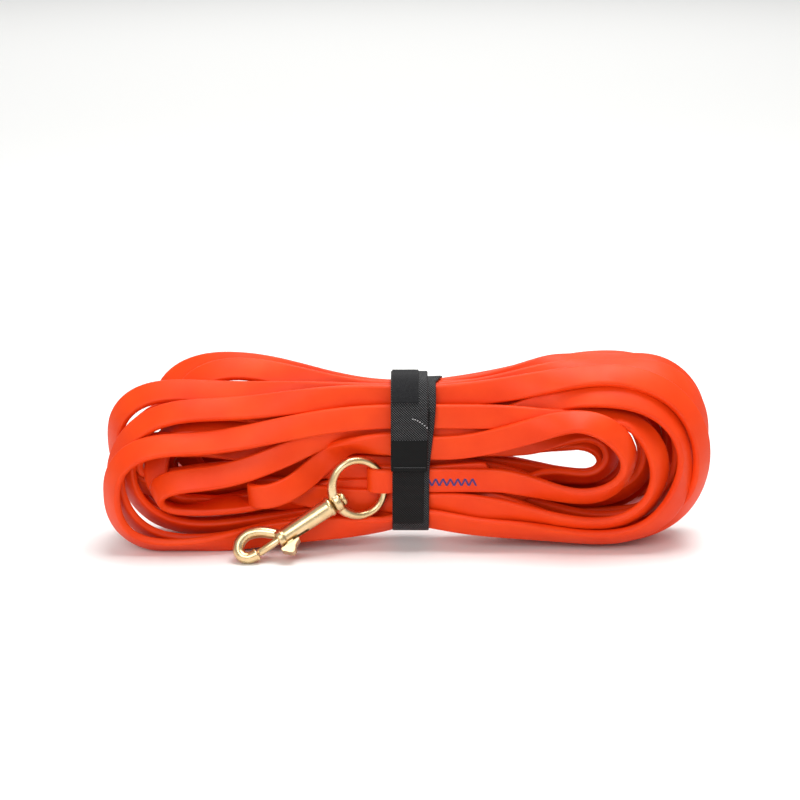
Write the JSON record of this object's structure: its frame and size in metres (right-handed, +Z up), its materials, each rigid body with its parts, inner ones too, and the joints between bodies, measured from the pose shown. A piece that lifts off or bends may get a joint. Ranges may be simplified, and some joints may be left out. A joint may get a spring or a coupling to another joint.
{
  "type": "training leash",
  "caption": "Long coated-webbing training line folded into a tied hank, with a swivel bolt snap sewn into its end.",
  "frame": {"origin": "on the ground under the middle of the whole object's box", "axes": "+X along the hank, away from the snap; +Z up; -Y the front, where the snap hangs"},
  "size_m": [0.32, 0.063, 0.101],
  "materials": {
    "strap": "smooth satin coating over webbing",
    "thread": "twisted polyester thread",
    "tie_webbing": "herringbone webbing",
    "tie_patch": "brushed hook-and-loop",
    "tie_thread": "stitched thread",
    "snap_brass": "satin cast brass",
    "spring_steel": "drawn wire"
  },
  "bodies": {
    "leash": {"strap_hank": "strap", "strap_sewn_end": "strap", "seam_thread_front": "thread", "seam_thread_back": "thread", "tie_band": "tie_webbing", "tie_hook_patch": "tie_patch", "tie_loop_patch": "tie_patch", "tie_tail_thread": "tie_thread", "tie_patch_thread": "tie_thread"},
    "eye": {"swivel_eye": "snap_brass"},
    "snap": {"snap_body": "snap_brass", "swivel_pin": "snap_brass", "bolt_spring": "spring_steel"},
    "bolt": {"bolt": "snap_brass", "thumb_stud": "snap_brass"}
  },
  "joints": [
    {"name": "eye_swing", "type": "hinge", "parent": "leash", "child": "eye", "pos_m": [-0.013, -0.0065, 0.0372], "axis": [0, 0, 1], "range_deg": [0, 72]},
    {"name": "snap_swivel", "type": "hinge", "parent": "eye", "child": "snap", "pos_m": [-0.02627, -0.01081, 0.036], "axis": [-0.8302, -0.2697, -0.4879], "continuous": true},
    {"name": "bolt_pull", "type": "slide", "parent": "snap", "child": "bolt", "axis": [0.8302, 0.2697, 0.4879], "range_m": [0, 0.0095], "stiffness_N_per_m": 350, "springref_m": -0.004, "deforming": ["bolt_spring"]}
  ]
}
